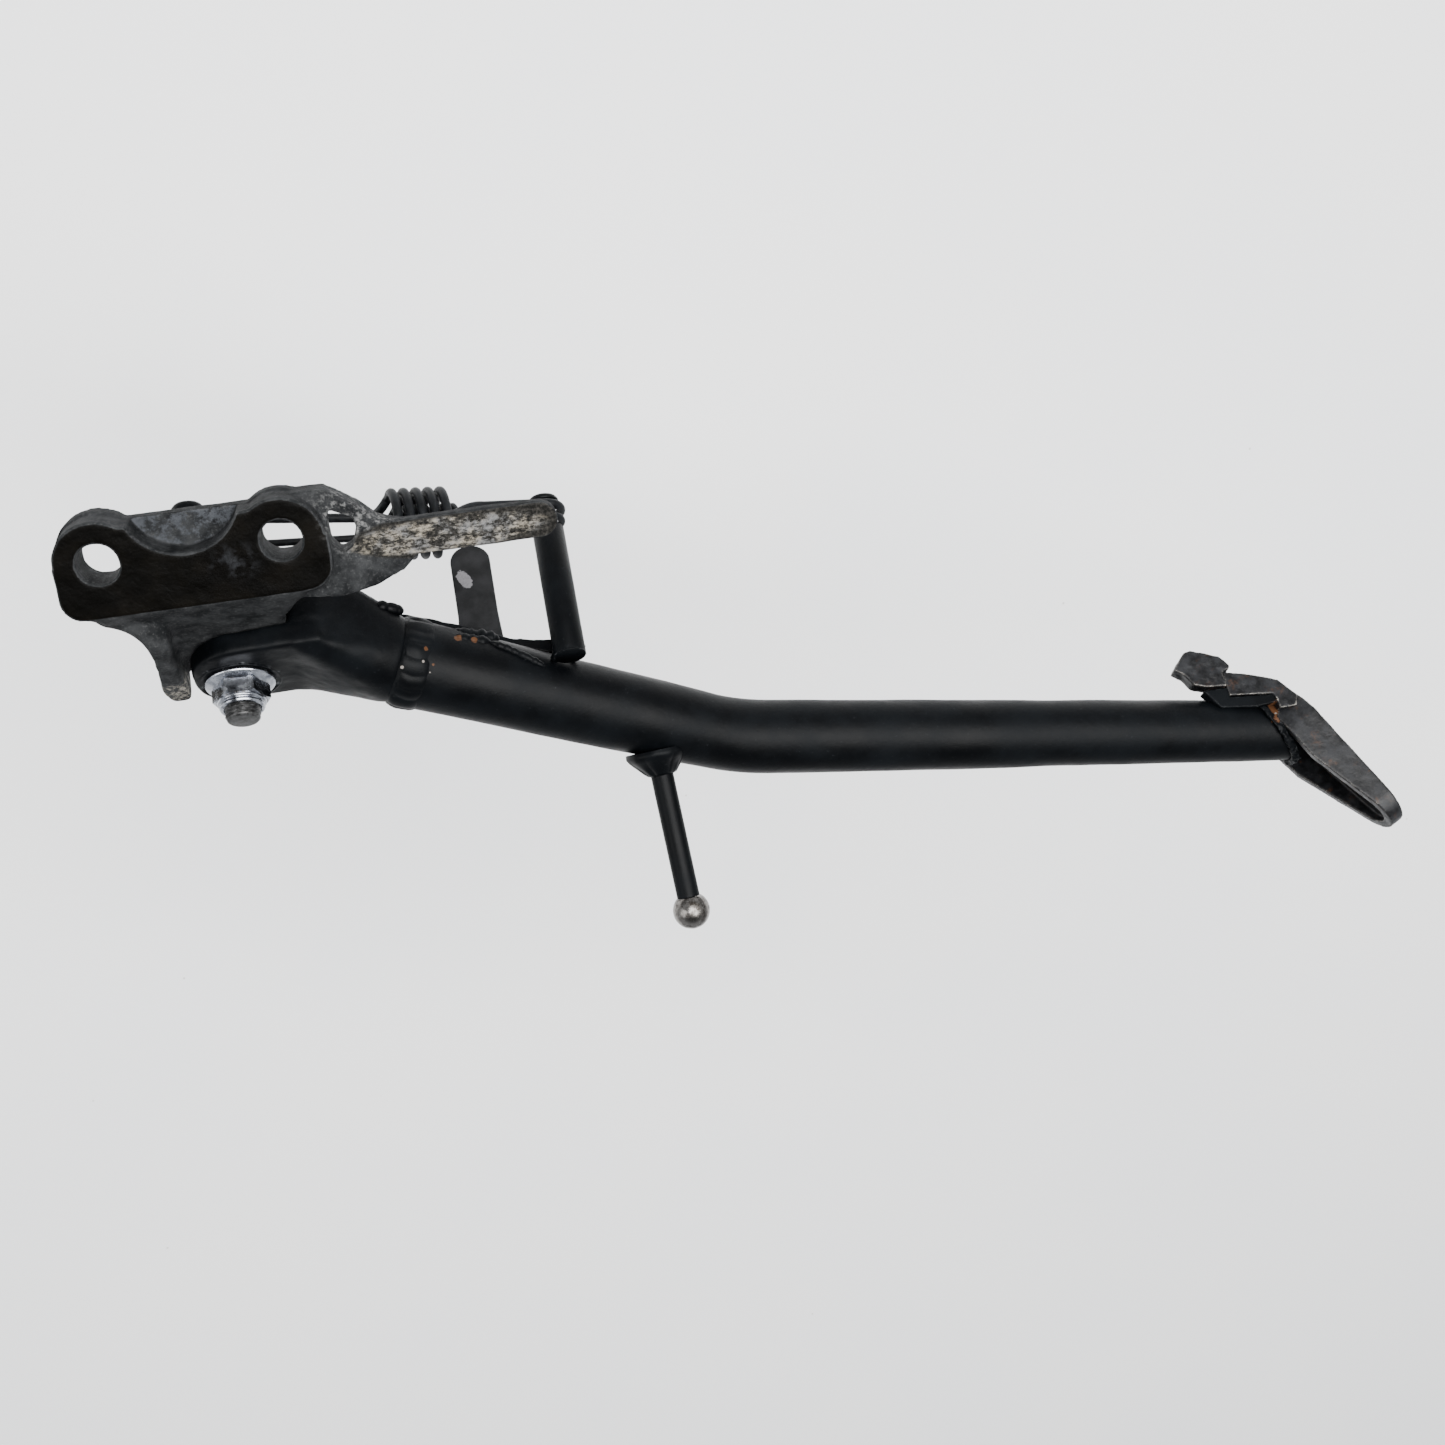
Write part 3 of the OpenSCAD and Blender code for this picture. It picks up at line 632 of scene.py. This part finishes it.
def cut(mesh, *cutters):
    """Takes some meshes away from a mesh."""
    for cutter in cutters:
        tool = add_object("tool", cutter)
        mesh = with_modifiers(
            mesh, ("BOOLEAN", {"operation": "DIFFERENCE", "object": tool, "solver": "EXACT"}))
        bpy.data.objects.remove(tool)
    return mesh


def sweep(path, radius, sides=16):
    """Round wire along a path. The radius is a number, or a function of the place from 0 to 1."""
    count = len(path)
    ways = []
    for i in range(count):
        before = path[max(i - 1, 0)]
        after = path[min(i + 1, count - 1)]
        ways.append((after - before).normalized())
    side = ways[0].orthogonal().normalized()
    verts = []
    for i, way in enumerate(ways):
        side = (side - side.dot(way) * way).normalized()
        other = way.cross(side)
        reach = radius(i / count) if callable(radius) else radius
        for k in range(sides):
            angle = math.tau * k / sides
            verts.append(path[i] + reach * (math.cos(angle) * side + math.sin(angle) * other))
    faces = []
    for i in range(count - 1):
        for k in range(sides):
            k2 = (k + 1) % sides
            faces.append((i * sides + k, i * sides + k2, (i + 1) * sides + k2, (i + 1) * sides + k))
    faces.append(tuple(reversed(range(sides))))
    faces.append(tuple((count - 1) * sides + k for k in range(sides)))
    mesh = bpy.data.meshes.new("sweep")
    mesh.from_pydata(verts, [], faces)
    return mesh


def turned(profile, start, way, sides=96):
    """Solid of revolution: profile is a list of (radius, height) in millimetres."""
    side = way.orthogonal().normalized()
    other = way.cross(side)
    verts = []
    for radius, height in profile:
        for k in range(sides):
            angle = math.tau * k / sides
            spoke = math.cos(angle) * side + math.sin(angle) * other
            verts.append(start + (radius * spoke + height * way) * MM)
    faces = [tuple(reversed(range(sides)))]
    for i in range(len(profile) - 1):
        for k in range(sides):
            k2 = (k + 1) % sides
            faces.append((i * sides + k, i * sides + k2, (i + 1) * sides + k2, (i + 1) * sides + k))
    faces.append(tuple((len(profile) - 1) * sides + k for k in range(sides)))
    mesh = bpy.data.meshes.new("turned")
    mesh.from_pydata(verts, [], faces)
    return mesh


# ---- Bracket ----

def make_bracket(material):
    mesh = softened(cad_mesh("bracket_casting"), 0.5, 2, lambda p: p.y < -15 * MM, 30)
    mesh = roughened(mesh, 6, 0.14)
    bores = [rod_mesh(bore - Vector((0, 0, 30 * MM)), bore + Vector((0, 0, 30 * MM)), BORE_R)
             for bore in (FRONT_BORE, REAR_BORE)]
    mesh = cut(mesh, *bores)
    return finished(mesh, "bracket_cast_body", "bracket", material,
                    ["bracket_casting"])


def soft_copy(node, name, body, material, voxel=0.35, passes=5, grain=None, depth=0.0):
    """A CAD node again with rounded edges, and with an uneven skin where a grain is given."""
    mesh = softened(cad_mesh(node), voxel, passes)
    if grain:
        mesh = roughened(mesh, grain, depth)
    return finished(mesh, name, body, material, [node])


# ---- Fork, tube and welds ----

def make_fork(material):
    mesh = softened(cad_mesh("leg_head"), 0.6, 36)
    mesh = roughened(mesh, 9, 0.22)
    ring = turned([(10.5, -1.2), (10.6, 0.05), (11.0, 0.42), (11.5, 0.36), (12.1, -0.5), (12.4, -1.2)],
                  at_pivot(0, 0, 0), NUT_WAY)
    return finished(joined(mesh, ring), "fork_forging", "leg", material, ["leg_head"])


def leg_path(steps):
    """Points of the tube's centre line, with the radius there in millimetres."""
    cut_off = BEND_R * math.tan(UPPER_WAY.angle(LOWER_WAY) / 2)
    first, last = BEND_AT - cut_off * MM * UPPER_WAY, BEND_AT + cut_off * MM * LOWER_WAY
    rows = [(SOCKET_END.lerp(first, i / steps), TUBE_TOP_R - UPPER_TAPER * i / steps)
            for i in range(steps)]
    for i in range(17):
        t = i / 16
        rows.append(((first.lerp(BEND_AT, t)).lerp(BEND_AT.lerp(last, t), t), TUBE_BEND_R))
    rows += [(last.lerp(LEG_END, i / steps), TUBE_BEND_R - LOWER_TAPER * i / steps)
             for i in range(1, steps + 1)]
    return rows


def make_tube(material):
    rows = leg_path(80)
    count = len(rows)
    mesh = sweep([row[0] for row in rows], lambda t: rows[min(count - 1, round(t * count))][1] * MM, 96)
    slab = box_mesh(FOOT_AT, FOOT_AXES, (-60, -40, -37), (60, 40, 3))
    mesh = cut(mesh, slab)
    mesh = roughened(mesh, 26, 0.22)
    return finished(mesh, "leg_tube_body", "leg", material, ["leg_tube"])


def ring_bead(start, way, profile, ripples, ripple_depth, seed, rows=14, sides=240):
    """Weld bead all round an axis: profile is a list of (radius, height) in millimetres."""
    side = way.orthogonal().normalized()
    other = way.cross(side)
    verts = []
    last = len(profile) - 1
    for i in range(rows + 1):
        at = i / rows * last
        low = min(int(at), last - 1)
        radius = profile[low][0] + (profile[low + 1][0] - profile[low][0]) * (at - low)
        height = profile[low][1] + (profile[low + 1][1] - profile[low][1]) * (at - low)
        for k in range(sides):
            angle = math.tau * k / sides
            spoke = math.cos(angle) * side + math.sin(angle) * other
            uneven = field.noise(spoke * 3 + Vector((seed, 0, 0)))
            phase = ripples * angle + 2.6 * abs(i / rows - 0.5) + 1.5 * uneven
            swell = ripple_depth * (abs(math.sin(phase / 2)) - 0.5) * math.sin(math.pi * i / rows)
            swell += 0.35 * field.noise(spoke * 2.5 + Vector((0, height * 0.3, seed)))
            verts.append(start + ((radius + swell) * spoke + height * way) * MM)
    faces = [(i * sides + k, i * sides + (k + 1) % sides,
              (i + 1) * sides + (k + 1) % sides, (i + 1) * sides + k)
             for i in range(rows) for k in range(sides)]
    mesh = bpy.data.meshes.new("ring_bead")
    mesh.from_pydata(verts, [], faces)
    return mesh


def line_bead(points, radius, step, seed):
    """Weld bead along some points in millimetres of the pivot frame, with a ripple every step."""
    path = []
    for a, b in zip(points, points[1:]):
        run = (Vector(b) - Vector(a)).length
        count = max(2, round(run / 0.25))
        path += [at_pivot(*Vector(a).lerp(Vector(b), i / count)) for i in range(count)]
    path.append(at_pivot(*points[-1]))
    length = sum((b - a).length for a, b in zip(path, path[1:])) / MM

    def reach(t):
        ripple = abs(math.sin(math.pi * t * length / step))
        end = min(1, 6 * t, 6 * (1 - t)) ** 0.5 if 0 < t < 1 else 0.25
        uneven = field.noise(Vector((t * length * 0.5, seed, 0)))
        return radius * MM * (0.82 + 0.16 * ripple + 0.2 * uneven) * max(end, 0.25)

    return sweep(path, reach, 24)


def make_welds(material):
    head = ring_bead(SOCKET_END, UPPER_WAY,
                     [(12.2, -1.2), (12.9, -0.4), (13.2, 0.8), (13.4, 2.4), (13.5, 4.2),
                      (13.35, 6.0), (13.0, 7.4), (12.2, 8.6)], 17, 0.42, 1.0)
    finished(head, "head_weld_bead", "leg", material, ["head_weld"])
    tang = ring_bead(TANG_ROOT, TANG_WAY,
                     [(9.6, 9.6), (9.9, 11.0), (9.2, 12.2), (7.9, 13.4), (6.5, 14.8),
                      (5.3, 16.2), (4.4, 17.2), (3.4, 17.6)], 11, 0.3, 4.0)
    finished(tang, "tang_weld_bead", "leg", material, ["tang_weld"])
    tab = joined(line_bead([(61, -23.0, -6.6), (68, -23.4, -6.2), (76.6, -23.8, -6.6)], 2.0, 1.5, 2.0),
                 line_bead([(61.2, -22.6, -4.2), (61.0, -20.4, -7), (61.2, -18.4, -10)], 1.5, 1.3, 5.0),
                 line_bead([(76.4, -23.2, -4.2), (76.8, -21, -7), (76.4, -19, -10)], 1.7, 1.3, 6.0))
    pad = [line_bead([(60.8, -1.2, -4.6), (66, -3.4, -4.0), (71.5, -5.4, -3.2)], 1.9, 2.4, 7.0),
           line_bead([(60.4, -4.2, -7.4), (67, -6.6, -6.8), (74, -9.2, -6.0)], 2.4, 2.6, 8.0),
           line_bead([(71, -4.2, -3.0), (76, -5.4, -0.6), (81, -6.6, 2.4), (86, -8.2, 5.6)], 1.3, 2.2, 9.0),
           line_bead([(38, 5.4, -13.6), (42.5, 6.8, -13.6), (48, 3.4, -13.0)], 1.9, 3.0, 10.0)]
    tab = joined(tab, *pad)
    finished(tab, "tab_weld_bead", "leg", material, ["tab_weld"])
    ring = []
    tilt = Matrix.Rotation(math.radians(12), 3, "Y")
    for k in range(73):
        angle = math.tau * k / 72
        spot = tilt @ Vector((4.9 * math.cos(angle), 4.9 * math.sin(angle), 0)) + Vector((93.8, -9.0, 2.0))
        ring.append(tuple(spot))
    post = line_bead(ring, 1.0, 1.5, 3.0)
    finished(post, "post_weld_bead", "leg", material, ["post_weld"])


def make_post(node, name, body, foot_z, top_z, foot_r, foot_end, place, material):
    """Post with the groove for the spring hooks, turned with small fillets."""
    groove_low, groove_high = SPRING_Z - GROOVE_HALF, SPRING_Z + GROOVE_HALF
    profile = [(0.01, top_z), (3.6, top_z), (4.35, top_z + 0.25), (4.75, top_z + 0.9),
               (4.8, top_z + 1.5),
               (4.8, groove_low - 0.5), (4.6, groove_low - 0.12), (4.2, groove_low), (3.8, groove_low + 0.1),
               (GROOVE_R, groove_low + 0.6), (GROOVE_R, groove_high - 0.6), (3.8, groove_high - 0.1),
               (4.2, groove_high), (4.6, groove_high + 0.12), (4.8, groove_high + 0.5),
               (4.8, foot_z - 0.3), (4.7, foot_z), (foot_r, foot_z + 0.02), (foot_r, foot_end),
               (0.01, foot_end)]
    mesh = turned(profile, at_pivot(*place), NUT_WAY, 72)
    mesh = roughened(mesh, 7, 0.07)
    return finished(mesh, name, body, material, [node])


# ---- Nut and bolt ----

def hex_prism(start, way, flats, low, high, spin):
    """Six-sided bar with its corners chamfered at the top and bottom."""
    side = PIVOT_AXES @ Vector((math.cos(spin), math.sin(spin), 0))
    other = way.cross(side)
    corner = flats / 2 / math.cos(math.radians(30))
    verts = []
    for height in (low, high):
        for k in range(6):
            angle = math.tau * k / 6
            spoke = math.cos(angle) * side + math.sin(angle) * other
            verts.append(start + (corner * spoke + height * way) * MM)
    faces = [tuple(reversed(range(6))), tuple(range(6, 12))]
    faces += [(k, (k + 1) % 6, 6 + (k + 1) % 6, 6 + k) for k in range(6)]
    bar = bpy.data.meshes.new("hex")
    bar.from_pydata(verts, [], faces)
    round_bar = turned([(0.01, low), (corner - 0.9, low), (corner + 0.1, low + 0.62),
                        (corner + 0.1, high - 0.62), (corner - 0.9, high), (0.01, high)], start, way)
    tool = add_object("tool", round_bar)
    bar = with_modifiers(bar, ("BOOLEAN", {"operation": "INTERSECT", "object": tool, "solver": "EXACT"}))
    bpy.data.objects.remove(tool)
    return bar


def make_nut(material):
    start = at_pivot(0, 0, 0)
    flange = turned([(5.05, 0.02), (9.35, 0.02), (9.68, 0.12), (9.8, 0.4), (9.8, 0.95), (9.66, 1.25),
                     (9.3, 1.45), (8.6, 1.65), (7.6, 1.95), (6.8, 2.3), (6.5, 2.6), (6.5, 3.6), (6.5, 6.1),
                     (6.72, 6.3), (6.85, 6.6), (6.86, 7.0), (6.72, 7.35), (6.45, 7.55), (6.25, 7.6),
                     (6.2, 7.75), (6.32, 8.0), (6.35, 8.4), (6.2, 8.8), (5.95, 9.05), (5.6, 9.12),
                     (5.3, 8.95), (5.15, 8.6), (5.1, 8.0)], start, NUT_WAY)
    hexagon = hex_prism(start, NUT_WAY, NUT_FLATS, 1.7, 6.6, math.radians(-5))
    piece = finished(joined(flange, hexagon), "pivot_flange_nut", "leg", material,
                     ["pivot_nut"])
    shade_by_angle(piece, 24)


def make_bolt(material):
    start = at_pivot(0, 0, 0)
    sides, pitch, low, high, dome_at = 96, 1.25, 5.0, 12.6, 11.2
    rows = round((high - low) / pitch * 14)
    side, other = PIVOT_AXES @ Vector((1, 0, 0)), PIVOT_AXES @ Vector((0, 1, 0))
    verts = []
    for i in range(rows + 1):
        height = low + (high - low) * i / rows
        for k in range(sides + 1):
            angle = math.tau * k / sides
            wave = abs(((height / pitch - k / sides) % 1) * 2 - 1)
            crest = 4.97 - 0.72 * min(1, max(0, 1.25 * wave - 0.12))
            radius = crest
            if height > dome_at:
                radius = min(crest, 3.7 + 1.15 * max(0, 1 - ((height - dome_at) / 1.4) ** 2) ** 0.5)
            verts.append(start + (radius * (math.cos(angle) * side + math.sin(angle) * other)
                                  + height * NUT_WAY) * MM)
    wide = sides + 1
    faces = [(i * wide + k, i * wide + k + 1, (i + 1) * wide + k + 1, (i + 1) * wide + k)
             for i in range(rows) for k in range(sides)]
    faces.append(tuple(rows * wide + k for k in range(sides)))
    thread = bpy.data.meshes.new("thread")
    thread.from_pydata(verts, [], faces)
    shank = rod_mesh(at_pivot(0, 0, -26), at_pivot(0, 0, 0), 6 * MM)
    core = rod_mesh(at_pivot(0, 0, -0.5), at_pivot(0, 0, 6), 4.9 * MM)
    head = hex_prism(start, NUT_WAY, NUT_FLATS, -32.4, -26.02, 0)
    piece = finished(joined(thread, core, shank, head), "pivot_bolt_body", "leg", material,
                     ["pivot_bolt"])
    shade_by_angle(piece, 24)


# ---- Tang ----

def make_ball(material):
    centre = TANG_ROOT + TANG_RUN * MM * TANG_WAY
    rod_side = -4.4
    profile = []
    for i in range(49):
        angle = -math.pi / 2 + math.pi * i / 48
        radius, height = BALL_R * math.cos(angle), BALL_R * math.sin(angle)
        if height < rod_side:
            continue
        profile.append((max(radius, 0.01), height))
    mesh = roughened(turned(profile, centre, TANG_WAY, 96), 3, 0.05)
    finished(mesh, "tang_ball_end", "leg", material, ["tang_ball"])


# ---- Springs ----

def bezier(a, b, c, d, t):
    return (1 - t) ** 3 * a + 3 * t * (1 - t) ** 2 * b + 3 * t * t * (1 - t) * c + t ** 3 * d


def hook_points(centre, reach, z, start, turn, count=28):
    angles = [math.radians(start - turn * i / count) for i in range(count + 1)]
    return [Vector((centre + reach * math.cos(a), reach * math.sin(a), z)) for a in angles]


def spring_points(reach, z, start, pitch, radius, turns, lead_y):
    """The same way that the wire takes in the CAD: hook, lead, coil, lead, hook."""
    first, last = -90, 360 * turns + 15
    count = round((last - first) / 7.5)
    coil = []
    for i in range(count + 1):
        degrees = first + (last - first) * i / count
        a = math.radians(degrees)
        coil.append(Vector((start + pitch * degrees / 360,
                            radius * math.cos(a), radius * math.sin(a))))
    lead_in = Vector((coil[0].x - 8, lead_y, z))
    lead_out = Vector((coil[-1].x + 12, reach, z))
    into = [bezier(lead_in, lead_in + Vector((4, -0.4, 0)),
                   coil[0] - Vector((1.4, 4.5, 0)), coil[0], i / 16) for i in range(1, 16)]
    out = [bezier(coil[-1], coil[-1] + Vector((1.8, -0.9, 2.2)),
                  lead_out + Vector((-7, 1.5, 0)), lead_out, i / 18) for i in range(1, 18)]
    side = math.copysign(1, lead_y)
    path = hook_points(0, reach, z, -70 * side, 200 * side)
    path += [path[-1].lerp(lead_in, i / 12) for i in range(1, 12)]
    path += [lead_in] + into + coil + out + [lead_out]
    far = hook_points(SPRING_RUN, reach, z, 90, 200)
    path += [lead_out.lerp(far[0], i / 8) for i in range(1, 8)] + far
    return [at_pivot(*(PIN_XY + p.x * SPRING_X + p.y * SPRING_Y + Vector((0, 0, SPRING_Z + p.z))))
            for p in path]


def make_springs(material):
    outer = sweep(spring_points(GROOVE_R + OUTER_WIRE_R + HOOK_PLAY, -2, 58.4, 3.6, 9.4, 4, 1.2),
                  OUTER_WIRE_R * MM, 24)
    inner = sweep(spring_points(GROOVE_R + INNER_WIRE_R + HOOK_PLAY, 1.9, 59.4, 2.8, 4.6, 6, -3.5),
                  INNER_WIRE_R * MM, 20)
    finished(outer, "outer_return_spring", "springs", material, ["outer_spring"])
    finished(inner, "inner_return_spring", "springs", material, ["inner_spring"])


# ---- Scene ----

make_camera()
make_world(0.12, 0.95)
CENTRE = (CAD_BOX[0] + CAD_BOX[1]) / 2
area_light("overhead", CENTRE + Vector((0.25, 0.45, 1.3)), CENTRE, (1.5, 1.1), 78)
area_light("left_fill", CENTRE + Vector((-1.2, 0.1, 0.8)), CENTRE, (0.8, 0.8), 10)

floor_mesh = bpy.data.meshes.new("floor")
floor_mesh.from_pydata([(x * FLOOR_HALF, y * FLOOR_HALF, FLOOR_Z)
                        for x, y in ((-1, -1), (1, -1), (1, 1), (-1, 1))], [], [(0, 1, 2, 3)])
floor = add_object("floor", floor_mesh)
floor_mesh.materials.append(floor_finish())

CAST = cast_bracket_finish()
PAINT = black_paint_finish(rust_spots=RUST_SPOTS)
STEEL = dark_steel_finish("dull_steel", (0.02, 0.02, 0.02), (0.10, 0.10, 0.10))
FOOT = foot_finish()
WIRE = spring_finish()
TAB = worn_tab_finish()
ZINC = zinc_finish()
BALL = ball_finish()
CAD_LOOKS = {
    "pivot_bush": bronze_finish(), "bracket_spring_pin": PAINT, "pivot_bolt": STEEL,
    "pivot_nut": ZINC, "leg_tube": PAINT, "head_weld": PAINT, "gusset_rib": PAINT,
    "spring_guard_tab": TAB, "tab_weld": PAINT, "spring_post": PAINT,
    "post_weld": PAINT, "tang_rod": PAINT, "tang_ball": BALL, "tang_weld": PAINT,
    "foot_plate": FOOT, "foot_strap": FOOT, "foot_lug": FOOT, "foot_web": PAINT,
    "foot_weld": PAINT, "outer_spring": WIRE, "inner_spring": WIRE, "leg_head": PAINT,
    "bracket_casting": CAST,
}
for node, look in CAD_LOOKS.items():
    mesh = frame["nodes"][node].data
    mesh.materials.clear()
    mesh.materials.append(look)

make_bracket(CAST)
make_post("bracket_spring_pin", "bracket_pin_body", "bracket", -33.4, -52.4, 3.2, -27.5,
          PIN_XY, PAINT)
make_fork(PAINT)
make_tube(PAINT)
make_welds(PAINT)
soft_copy("gusset_rib", "gusset_rib_body", "leg", PAINT, 0.3, 6, 4, 0.25)
soft_copy("spring_guard_tab", "guard_tab_strap", "leg", TAB, 0.25, 4)
make_post("spring_post", "spring_post_body", "leg", 4, -49.8, 4.8, 4.1, POST_XY, PAINT)
make_nut(ZINC)
make_bolt(STEEL)
make_ball(BALL)
soft_copy("foot_plate", "foot_dish", "leg", FOOT, 0.35, 4, 7, 0.14)
soft_copy("foot_strap", "foot_strap_fold", "leg", FOOT, 0.3, 8, 5, 0.18)
soft_copy("foot_lug", "foot_boot_lug", "leg", FOOT, 0.3, 10, 4, 0.25)
soft_copy("foot_web", "foot_web_plate", "leg", PAINT, 0.3, 4)
soft_copy("foot_weld", "foot_weld_bead", "leg", PAINT, 0.25, 4, 2, 0.5)
make_springs(WIRE)
